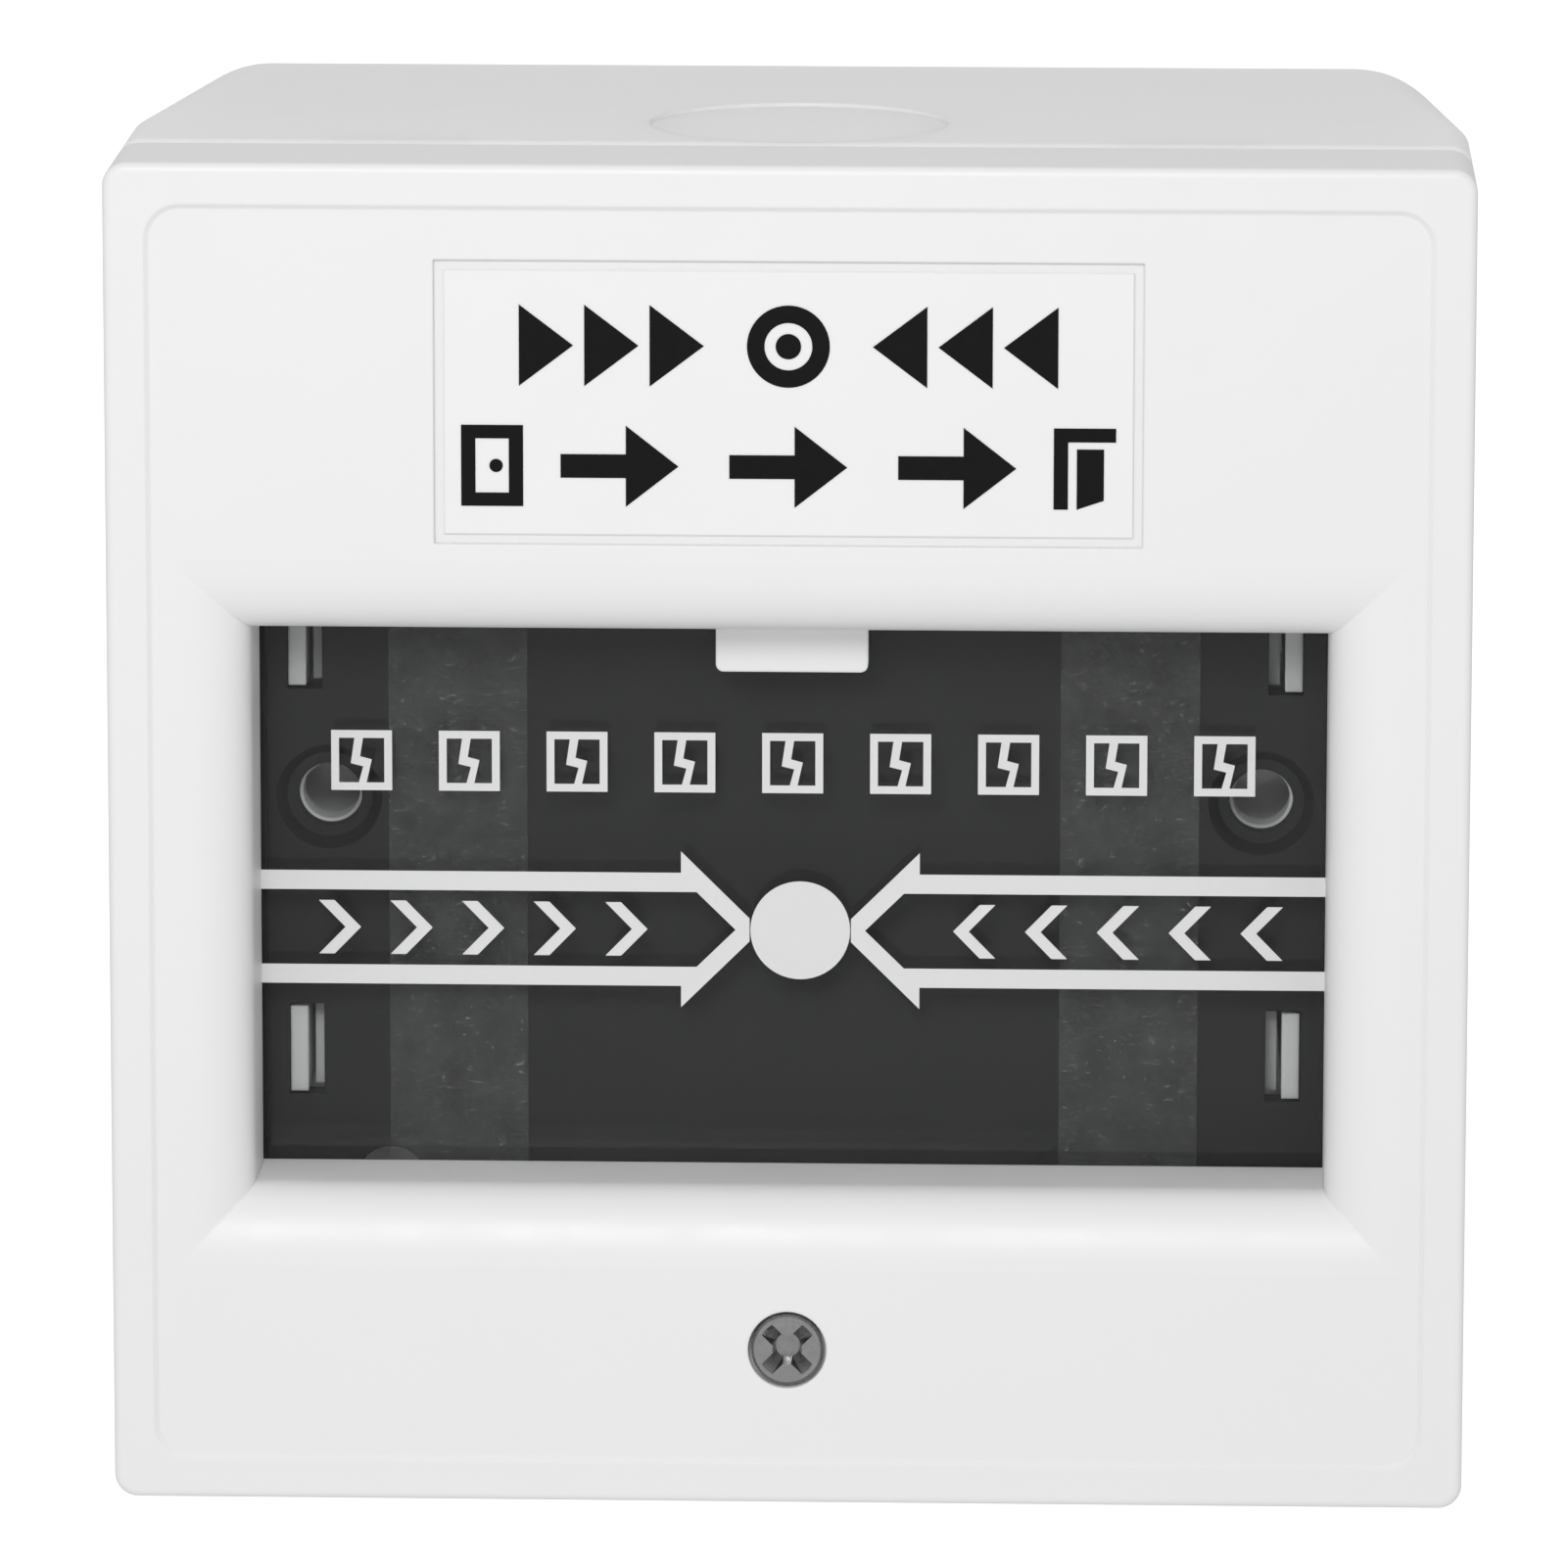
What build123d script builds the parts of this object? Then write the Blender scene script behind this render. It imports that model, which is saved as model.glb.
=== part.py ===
from build123d import *
import os

# Wall mounted break-glass call point in a standard 86 mm case, in millimetres.
# X is to the right, +Y goes into the wall, +Z is up. The wall face is Y = 0 and the front is Y = -50.
# A depth named *_front, *_rear or *_y is a distance in front of the wall face.

os.makedirs("parts", exist_ok=True)

# ---- driving dimensions: case and cover ----
case_size = 86.0
case_depth = 50.0
case_corner = 1.5
cover_depth = 10.25
cover_wall = 2.2
cover_skin = 2.2
cover_edge = 0.5
cover_back_edge = 0.8
seam_gap = 0.3
field_size = 80.8
field_step = 0.25
field_corner = 2.0

# ---- window, glass and films ----
window_w = 68.2
window_h = 36.0
window_z = -5.0
bevel_w = 4.8
bevel_d = 3.75
funnel_wall = 1.8
funnel_foot = 1.5
funnel_bend = 1.4
pane_depth = 10.0
pane_t = 2.0
pane_w = 72.0
pane_h = 39.6
pane_chamfer = 0.2
film_x = 21.55
film_w = 8.9
film_t = 0.12
clip_play = 0.05
clip_wall = 1.4
clip_offset = 0.9
clip_hook = 0.8
clip_long = 9.0
clip_short = 7.0
clip_x = 12.0

# ---- label ----
label_w = 44.5
label_h = 18.0
label_z = 27.95
label_recess = 0.3
label_t = 0.25
label_gap = 0.6
label_chamfer = 0.08
label_ink = 0.05
pane_ink = 0.04
row_h = 5.15
row_a = 31.6
row_b = 23.95

# ---- tab in front of the switch lever ----
tab_w = 9.7
tab_h = 5.0
tab_bottom = 9.45
tab_front = 8.2
tab_corner = 0.5

# ---- base plate ----
plate_size = 80.0
plate_depth = 14.0
plate_t = 2.3
plate_corner = 4.0
fixing_x = 30.0
fixing_r = 2.05
fixing_head_r = 3.4
fixing_head_d = 1.1
fixing_head_slope = 30
wall_screw_r = 1.85
slot_w = 2.25
slot_h = 6.0
slot_x = 31.525
slot_top_z = 10.1
slot_low_z = -16.6
slot_sink = 1.1
slot_ledge = 0.55
plate_rib_x = 34.3
plate_rib = 0.7
drain_x = -26.1
drain_z = -25.2
drain_r = 2.2
lever_slot_w = 6.4
lever_slot_h = 8.0
lever_slot_z = 14.0

# ---- cover screw, washer, insert and pillar ----
screw_z = -33.0
screw_r = 1.4
screw_root_r = 1.2
screw_pitch = 0.5
screw_rings = 16
screw_head_r = 2.28
screw_sink = 0.15
screw_neck = 3.2
cross_l = 3.75
cross_w = 0.95
cross_d = 1.3
cross_taper = 8
cross_slant = 40
boss_r = 3.6
boss_rear = 46.4
boss_l = 1.6
head_seat_r = 2.5
head_seat_d = 0.8
screw_hole_r = 1.7
washer_r = 2.6
washer_t = 0.6
washer_rear = 41.8
insert_r = 2.3
insert_bore_r = 1.5
insert_len = 4.5
insert_relief = 1.5
pillar_r = 3.6
pillar_front = 41.5

# ---- back box ----
box_wall = 2.5
box_floor = 2.5
box_corner = 7.0
box_back_edge = 0.6
rim_edge = 1.0
rim_depth = 21.0
shelf_outer = 82.0
shelf_inner = 77.0
shelf_t = 3.2
lug_x = 33.5
lug_l = 16.0
lug_h = 10.0
lug_t = 2.3
gusset_x = 39.0
gusset_l = 4.0
gusset_t = 1.4
gusset_z = 4.2
gusset_d = 14.0
arm_x = 31.9
arm_root_t = 2.4
arm_root_l = 12.0
arm_t = 0.6
arm_mid_x = 31.75
arm_hook_x = 32.1
arm_hook_t = 0.95
arm_hook_l = 1.0
arm_h = 5.6
arm_play = 0.1
stop_x = 30.625
stop_t = 1.05
stop_front = 33.5
tube_r = 4.2
tube_bore_r = 2.7
knockout_r = 9.6
knockout_depth = 21.0
knockout_sink = 0.25
knockout_groove = 0.7
knockout_skin = 1.1
entry_r = 10.0
entry_z = -22.0
tongue_x = 25.0
tongue_z = 41.3
tongue_w = 8.0
tongue_t = 0.8
tongue_rear = 37.4
tongue_root = 0.6
pocket_z = 41.2
pocket_w = 8.8
pocket_t = 1.5
pocket_rear = 36.9

# ---- circuit board ----
pcb_w = 38.0
pcb_h = 44.0
pcb_z = 14.0
pcb_corner = 1.5
pcb_front = 20.5
pcb_t = 1.6
post_x = 16.0
post_low_z = -5.0
post_top_z = 33.0
post_r = 2.5
board_screw_r = 1.1
board_screw_l = 8.0
board_screw_hole_r = 1.35
board_screw_head_r = 2.4
board_screw_head_t = 1.6
board_cross_l = 2.6
board_cross_w = 0.55
board_cross_d = 0.8

# ---- microswitch ----
switch_w = 6.4
switch_front = 31.5
switch_d = 10.2
switch_low = 13.2
switch_high = 33.0
switch_wall = 1.0
lid_t = 0.8
lid_dimple_r = 0.9
lid_dimple_d = 0.3
lid_dimple_z = 3.0
ear_r = 0.8
ear_t = 0.8
ear_stem = 0.4
lever_y = -32.4
lever_z = 31.6
lever_pin_r = 0.4
lever_bore_r = 0.45
lever_eye_r = 0.75
lever_w = 2.6
lever_tip_r = 0.5
lever_tip_y = -37.45
lever_tip_z = 12.3
plunger_z = 25.0
plunger_r = 1.0
plunger_rear = 29.7
plunger_l = 3.1
plunger_edge = 0.3
pin_z = (30.2, 23.1, 16.0)
pin_t = 0.6
pin_w = 1.2
pin_stub = 0.9
contact_y = 1.6
contact_t = 0.5
contact_w = 2.2
contact_l = 2.6
blade_y = 5.8
blade_w = 2.4
blade_l = 15.6
blade_z = 23.0
blade_t = 0.25

# ---- terminal block ----
block_w = 15.6
block_h = 9.0
block_z = -1.5
block_d = 10.5
block_chamfer = 0.8
way_pitch = 5.08
cage_z = -2.9
cage_rear = 11.9
cage_l = 5.6
cage_w = 3.4
cage_h = 4.0
cage_wall = 0.55
cage_floor = 0.8
cage_roof = 0.7
cage_bore_r = 1.06
cage_room_w = 3.9
cage_room_h = 5.9
cage_room_z = 2.9
cage_room_rear = 10.1
cage_room_l = 7.6
driver_r = 1.75
driver_d = 3.0
bar_y = 13.3
bar_w = 1.2
bar_t = 0.6
bar_l = 7.2
bar_z = -1.4
bar_pin_z = 1.9
bar_pin_l = 8.2
bar_slot_z = 1.0
bar_slot_h = 2.4
bar_slot_l = 6.0
clamp_rear = 8.8
clamp_head_r = 1.6
clamp_head_t = 1.2
clamp_r = 1.0
clamp_l = 3.25
clamp_slot_w = 0.55
clamp_slot_d = 0.7

# ---- derived positions ----
spare = 2.0
field_y = case_depth - field_step
cover_rear = case_depth - cover_depth
box_front = cover_rear - seam_gap
pane_front = case_depth - pane_depth
pane_rear = pane_front - pane_t
plate_front = case_depth - plate_depth
plate_rear = plate_front - plate_t
rim_rear = case_depth - rim_depth
pcb_rear = pcb_front - pcb_t
half_w = window_w / 2
half_h = window_h / 2
bevel_end = field_y - bevel_d
bevel_x = half_w + bevel_w
bevel_z = half_h + bevel_w
label_face = field_y - label_recess + label_t
head_top = field_y - screw_sink
neck_end = -head_top + screw_neck
switch_mid = (switch_low + switch_high) / 2
switch_h = switch_high - switch_low
switch_rear = switch_front - switch_d
block_rear = pcb_rear - block_d
block_low = block_z - block_h / 2
window_side = Plane(origin=(0, 0, window_z), x_dir=(0, 1, 0), z_dir=(1, 0, 0))
posts = [(x_post, z_post) for x_post in (-post_x, post_x) for z_post in (post_low_z, post_top_z)]
way_x = (-way_pitch, 0.0, way_pitch)

# ---- window cutter: curved bevel all round, then a straight wall, mitred at the corners ----
with BuildPart() as window_cut:
    with BuildSketch(Plane.XY.offset(window_z - case_size / 2)):
        with BuildLine():
            EllipticalCenterArc((bevel_x, -bevel_end), bevel_w, bevel_d, start_angle=180, arc_size=90)
            Polyline(
                (bevel_x, -field_y),
                (bevel_x, -case_depth - spare),
                (0, -case_depth - spare),
                (0, -pane_rear),
                (half_w, -pane_rear),
                (half_w, -bevel_end),
            )
        make_face()
        mirror(about=Plane.YZ)
    extrude(amount=case_size)
    with BuildSketch(window_side.offset(-case_size / 2)):
        with BuildLine():
            EllipticalCenterArc((-bevel_end, bevel_z), bevel_d, bevel_w, start_angle=180, arc_size=90)
            Polyline(
                (-bevel_end, half_h),
                (-pane_rear, half_h),
                (-pane_rear, 0),
                (-case_depth - spare, 0),
                (-case_depth - spare, bevel_z),
                (-field_y, bevel_z),
            )
        make_face()
        mirror(about=Plane.XZ)
    extrude(amount=case_size, mode=Mode.INTERSECT)

# ---- outside of the window funnel, a wall of even thickness behind the bevel ----
with BuildPart() as funnel:
    with BuildSketch(Plane.XY.offset(window_z - case_size / 2)):
        with BuildLine():
            Polyline(
                (0, -field_y + 1),
                (bevel_x + funnel_foot, -field_y + 1),
                (bevel_x + funnel_foot, -field_y + cover_skin),
                (half_w + funnel_wall, -bevel_end + funnel_bend),
                (half_w + funnel_wall, -pane_front),
                (0, -pane_front),
                close=True,
            )
        make_face()
        mirror(about=Plane.YZ)
    extrude(amount=case_size)
    with BuildSketch(window_side.offset(-case_size / 2)):
        with BuildLine():
            Polyline(
                (-field_y + 1, 0),
                (-field_y + 1, bevel_z + funnel_foot),
                (-field_y + cover_skin, bevel_z + funnel_foot),
                (-bevel_end + funnel_bend, half_h + funnel_wall),
                (-pane_front, half_h + funnel_wall),
                (-pane_front, 0),
                close=True,
            )
        make_face()
        mirror(about=Plane.XZ)
    extrude(amount=case_size, mode=Mode.INTERSECT)

# ---- front cover ----
with BuildPart() as front_cover:
    with BuildSketch(Plane.XZ.offset(cover_rear)):
        RectangleRounded(case_size, case_size, case_corner)
    extrude(amount=cover_depth)
    front_edges = front_cover.faces().sort_by(Axis.Y)[0].edges()
    fillet(front_edges, cover_edge)
    rear_edges = front_cover.faces().sort_by(Axis.Y)[-1].edges()
    fillet(rear_edges, cover_back_edge)
    # hollow behind the front skin
    with BuildSketch(Plane.XZ.offset(field_y - cover_skin)):
        Rectangle(case_size - 2 * cover_wall, case_size - 2 * cover_wall)
    extrude(amount=-cover_depth, mode=Mode.SUBTRACT)
    # centre field one small step below the border, with a sloping step
    with BuildSketch(Plane.XZ.offset(field_y)):
        RectangleRounded(field_size - 2 * field_step, field_size - 2 * field_step, field_corner)
    extrude(amount=field_step + 0.01, taper=-45, mode=Mode.SUBTRACT)
    add(funnel.part)
    add(window_cut.part, mode=Mode.SUBTRACT)
    # label recess
    with BuildSketch(Plane.XZ.offset(field_y)):
        with Locations((0, label_z)):
            Rectangle(label_w, label_h)
    extrude(amount=-label_recess, mode=Mode.SUBTRACT)
    # tab that backs up the glass in front of the switch lever
    with BuildSketch(Plane.XZ.offset(pane_front + clip_play)):
        with Locations((0, tab_bottom + tab_h / 2)):
            RectangleRounded(tab_w, tab_h, tab_corner)
    extrude(amount=pane_depth - tab_front - clip_play)
    # clips that hold the glass from behind: stems outside its edges, then hooks over its rear face
    with BuildSketch(Plane.XZ.offset(pane_rear - clip_play - clip_hook)):
        for side in (-1, 1):
            for x_clip in (-clip_x, clip_x):
                with Locations((x_clip, window_z + side * (pane_h / 2 + clip_offset))):
                    Rectangle(clip_short, clip_wall)
            with Locations((side * (pane_w / 2 + clip_offset), window_z)):
                Rectangle(clip_wall, clip_long)
    extrude(amount=field_y - cover_skin - pane_rear + clip_play + clip_hook)
    with BuildSketch(Plane.XZ.offset(pane_rear - clip_play - clip_hook)):
        for side in (-1, 1):
            for x_clip in (-clip_x, clip_x):
                with Locations((x_clip, window_z + side * pane_h / 2)):
                    Rectangle(clip_short, 2 * clip_hook)
            with Locations((side * pane_w / 2, window_z)):
                Rectangle(2 * clip_hook, clip_long)
    extrude(amount=clip_hook)
    # screw boss, head recess and clearance hole
    with BuildSketch(Plane.XZ.offset(boss_rear)):
        with Locations((0, screw_z)):
            Circle(boss_r)
    extrude(amount=boss_l)
    with BuildSketch(Plane.XZ.offset(field_y)):
        with Locations((0, screw_z)):
            Circle(head_seat_r)
    extrude(amount=-head_seat_d, mode=Mode.SUBTRACT)
    with BuildSketch(Plane.XZ.offset(field_y - head_seat_d)):
        with Locations((0, screw_z)):
            Circle(head_seat_r)
    extrude(amount=-head_seat_d - clip_play, taper=43, mode=Mode.SUBTRACT)
    with BuildSketch(Plane.XZ.offset(field_y)):
        with Locations((0, screw_z)):
            Circle(screw_hole_r)
    extrude(amount=-field_y + boss_rear - 1, mode=Mode.SUBTRACT)
    # two tongues that hook under the rim of the box
    with BuildSketch(Plane.XZ.offset(tongue_rear)):
        with Locations((-tongue_x, tongue_z), (tongue_x, tongue_z)):
            Rectangle(tongue_w, tongue_t)
    extrude(amount=cover_rear - tongue_rear + tongue_root)
front_cover.part.label = "front_cover"
export_step(front_cover.part, "parts/front_cover.step")

# ---- label plate and its printing ----
with BuildPart() as label_plate:
    with BuildSketch(Plane.XZ.offset(field_y - label_recess)):
        with Locations((0, label_z)):
            Rectangle(label_w - 2 * label_gap, label_h - 2 * label_gap)
    extrude(amount=label_t)
    chamfer(label_plate.faces().sort_by(Axis.Y)[0].edges(), label_chamfer)
label_plate.part.label = "label_plate"
export_step(label_plate.part, "parts/label_plate.step")

with BuildPart() as label_print:
    with BuildSketch(Plane.XZ.offset(label_face)):
        # upper row: a press point between solid arrowheads
        with Locations((0, row_a)):
            Circle(2.6)
            Circle(1.5, mode=Mode.SUBTRACT)
            Circle(0.8)
        for k in range(3):
            with Locations((-15.2 + 4.1 * k, row_a)):
                Polygon((-1.7, -row_h / 2), (1.7, 0), (-1.7, row_h / 2), align=None)
            with Locations((15.2 - 4.1 * k, row_a)):
                Polygon((1.7, -row_h / 2), (-1.7, 0), (1.7, row_h / 2), align=None)
        # lower row: shut door, arrows, open door
        with Locations((-18.6, row_b)):
            Rectangle(3.9, row_h)
            Rectangle(2.1, row_h - 1.7, mode=Mode.SUBTRACT)
        with Locations((-18.35, row_b)):
            Circle(0.42)
        for x_arrow in (-10.6, 0, 10.6):
            with Locations((x_arrow, row_b)):
                Polygon(
                    (-3.7, -0.75),
                    (0.4, -0.75),
                    (0.4, -row_h / 2),
                    (3.7, 0),
                    (0.4, row_h / 2),
                    (0.4, 0.75),
                    (-3.7, 0.75),
                    align=None,
                )
        with Locations((18.6, row_b)):
            Polygon(
                (-1.95, -row_h / 2),
                (-1.05, -row_h / 2),
                (-1.05, 1.7),
                (1.95, 1.7),
                (1.95, row_h / 2),
                (-1.95, row_h / 2),
                align=None,
            )
            Polygon((-0.5, -row_h / 2), (1.2, -2.0), (1.2, 1.25), (-0.5, 1.25), align=None)
    extrude(amount=label_ink)
label_print.part.label = "label_print"
export_step(label_print.part, "parts/label_print.step")

# ---- glass pane, its printing and the two safety films behind it ----
with BuildPart() as glass_pane:
    with BuildSketch(Plane.XZ.offset(pane_rear)):
        with Locations((0, window_z)):
            Rectangle(pane_w, pane_h)
    extrude(amount=pane_t)
    chamfer(glass_pane.edges(), pane_chamfer)
glass_pane.part.label = "glass_pane"
export_step(glass_pane.part, "parts/glass_pane.step")

dot_x = 0.5
dot_z = -7.7
dot_r = 3.2
mark_row_z = 3.2
mark_pitch = 6.9
mark_size = 3.9
mark_line = 0.5
with BuildPart() as pane_print:
    with BuildSketch(Plane.XZ.offset(pane_front)):
        with Locations((dot_x, dot_z)):
            Circle(dot_r)
        # outlined arrows from both sides of the window to the dot
        for side in (-1, 1):
            with Locations((dot_x, dot_z)):
                for up in (-1, 1):
                    Polygon(
                        (side * half_w - dot_x, up * 2.45),
                        (side * half_w - dot_x, up * 3.7),
                        (side * 7.65, up * 3.7),
                        (side * 7.65, up * 5.1),
                        (side * 3.25, up * 0.75),
                        (side * 3.25, 0),
                        (side * 4.15, 0),
                        (side * 6.65, up * 2.45),
                        align=None,
                    )
        # chevrons inside the arrows
        for side in (-1, 1):
            for k in range(5):
                with Locations((dot_x + side * (11.4 + 4.6 * k), dot_z)):
                    Polygon(
                        (side * 1.1, 1.75),
                        (side * 0.1, 1.75),
                        (side * -1.6, 0),
                        (side * 0.1, -1.75),
                        (side * 1.1, -1.75),
                        (side * -0.6, 0),
                        align=None,
                    )
        # row of small cracked panes above the arrows
        for k in range(-4, 5):
            with Locations((k * mark_pitch, mark_row_z)):
                Rectangle(mark_size, mark_size)
                Rectangle(mark_size - 2 * mark_line, mark_size - 2 * mark_line, mode=Mode.SUBTRACT)
        for k in range(-4, 5):
            with Locations((k * mark_pitch, mark_row_z)):
                Polygon(
                    (-0.45, 1.5),
                    (0.1, 1.5),
                    (-0.1, 0.25),
                    (0.65, 0.05),
                    (0.3, -1.5),
                    (-0.2, -1.5),
                    (0.1, -0.4),
                    (-0.7, -0.2),
                    align=None,
                )
    extrude(amount=pane_ink)
pane_print.part.label = "pane_print"
export_step(pane_print.part, "parts/pane_print.step")

with BuildPart() as film_strips:
    with BuildSketch(Plane.XZ.offset(pane_rear)):
        with Locations((-film_x, window_z), (film_x, window_z)):
            Rectangle(film_w, pane_h - 1)
    extrude(amount=-film_t)
film_strips.part.label = "film_strips"
export_step(film_strips.part, "parts/film_strips.step")

# ---- cover screw with its cross recess, and the washer that keeps it in the cover ----
with BuildPart() as cover_screw:
    with BuildSketch(Plane.YZ):
        with BuildLine():
            Polyline(
                (-head_top, screw_z),
                (-head_top, screw_z + screw_head_r - 0.15),
                (-head_top + 0.15, screw_z + screw_head_r),
                (-head_top + 0.6, screw_z + screw_head_r),
                (-head_top + 1.45, screw_z + screw_r),
                (neck_end, screw_z + screw_r),
                (neck_end, screw_z),
                close=True,
            )
        make_face()
        # threaded length, shown as plain rings at the thread pitch
        for k in range(screw_rings):
            y_ring = neck_end + screw_pitch * k
            with BuildLine():
                Polyline(
                    (y_ring, screw_z),
                    (y_ring, screw_z + screw_root_r),
                    (y_ring + 0.4 * screw_pitch, screw_z + screw_r),
                    (y_ring + 0.6 * screw_pitch, screw_z + screw_r),
                    (y_ring + screw_pitch, screw_z + screw_root_r),
                    (y_ring + screw_pitch, screw_z),
                    close=True,
                )
            make_face()
    revolve(axis=Axis((0, 0, screw_z), (0, 1, 0)))
    # cross recess whose wings run in at a slant
    with BuildPart(mode=Mode.PRIVATE) as driver:
        with BuildSketch(Plane.XZ.offset(head_top)):
            with Locations(Location((0, screw_z), 45), Location((0, screw_z), 135)):
                Rectangle(cross_l, cross_w)
            with Locations((0, screw_z)):
                Circle(cross_w)
        extrude(amount=-cross_d, taper=cross_taper)
        with BuildSketch(Plane.XZ.offset(head_top)):
            with Locations((0, screw_z)):
                Circle(cross_l / 2)
        extrude(amount=-cross_d, taper=cross_slant, mode=Mode.INTERSECT)
    add(driver.part, mode=Mode.SUBTRACT)
cover_screw.part.label = "cover_screw"
export_step(cover_screw.part, "parts/cover_screw.step")

with BuildPart() as screw_washer:
    with BuildSketch(Plane.XZ.offset(washer_rear)):
        with Locations((0, screw_z)):
            Circle(washer_r)
            Circle(screw_r + 0.05, mode=Mode.SUBTRACT)
    extrude(amount=washer_t)
screw_washer.part.label = "screw_washer"
export_step(screw_washer.part, "parts/screw_washer.step")

# ---- base plate behind the glass ----
with BuildPart() as base_plate:
    with BuildSketch(Plane.XZ.offset(plate_rear)):
        RectangleRounded(plate_size, plate_size, plate_corner)
    extrude(amount=plate_t)
    # pillar for the cover screw
    with BuildSketch(Plane.XZ.offset(plate_front)):
        with Locations((0, screw_z)):
            Circle(pillar_r)
    extrude(amount=pillar_front - plate_front)
    # low ribs beside the window
    with BuildSketch(Plane.XZ.offset(plate_front)):
        with Locations((-plate_rib_x, window_z), (plate_rib_x, window_z)):
            Rectangle(plate_rib, window_h + 2)
    extrude(amount=plate_rib)
    # posts for the circuit board
    with BuildSketch(Plane.XZ.offset(plate_rear)):
        with Locations(*posts):
            Circle(post_r)
    extrude(amount=-(plate_rear - pcb_front))
    with BuildSketch(Plane.XZ.offset(pcb_front)):
        with Locations(*posts):
            Circle(board_screw_r)
    extrude(amount=board_screw_l, mode=Mode.SUBTRACT)
    # seat of the brass insert
    with BuildSketch(Plane.XZ.offset(pillar_front)):
        with Locations((0, screw_z)):
            Circle(insert_r)
    extrude(amount=-insert_len, mode=Mode.SUBTRACT)
    with BuildSketch(Plane.XZ.offset(pillar_front)):
        with Locations((0, screw_z)):
            Circle(insert_bore_r)
    extrude(amount=-insert_len - insert_relief, mode=Mode.SUBTRACT)
    # fixing holes with sunk heads
    with BuildSketch(Plane.XZ.offset(plate_front)):
        with Locations((-fixing_x, 0), (fixing_x, 0)):
            Circle(fixing_head_r)
    extrude(amount=-fixing_head_d, taper=fixing_head_slope, mode=Mode.SUBTRACT)
    with BuildSketch(Plane.XZ.offset(plate_front)):
        with Locations((-fixing_x, 0), (fixing_x, 0)):
            Circle(fixing_r)
        with Locations((drain_x, drain_z)):
            Circle(drain_r)
        # way through for the switch lever
        with Locations((0, lever_slot_z)):
            Rectangle(lever_slot_w, lever_slot_h)
    extrude(amount=-plate_t, mode=Mode.SUBTRACT)
    # snap slots, wide in front and narrower behind
    for side in (-1, 1):
        with BuildSketch(Plane.XZ.offset(plate_front)):
            with Locations((side * slot_x, slot_top_z), (side * slot_x, slot_low_z)):
                Rectangle(slot_w, slot_h)
        extrude(amount=-slot_sink, mode=Mode.SUBTRACT)
        with BuildSketch(Plane.XZ.offset(plate_front)):
            for z_slot in (slot_top_z, slot_low_z):
                with Locations((side * (slot_x - slot_ledge / 2), z_slot)):
                    Rectangle(slot_w - slot_ledge, slot_h)
        extrude(amount=-plate_t, mode=Mode.SUBTRACT)
base_plate.part.label = "base_plate"
export_step(base_plate.part, "parts/base_plate.step")

with BuildPart() as cover_insert:
    with BuildSketch(Plane.XZ.offset(pillar_front - insert_len)):
        with Locations((0, screw_z)):
            Circle(insert_r)
            Circle(insert_bore_r, mode=Mode.SUBTRACT)
    extrude(amount=insert_len)
cover_insert.part.label = "cover_insert"
export_step(cover_insert.part, "parts/cover_insert.step")

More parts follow.
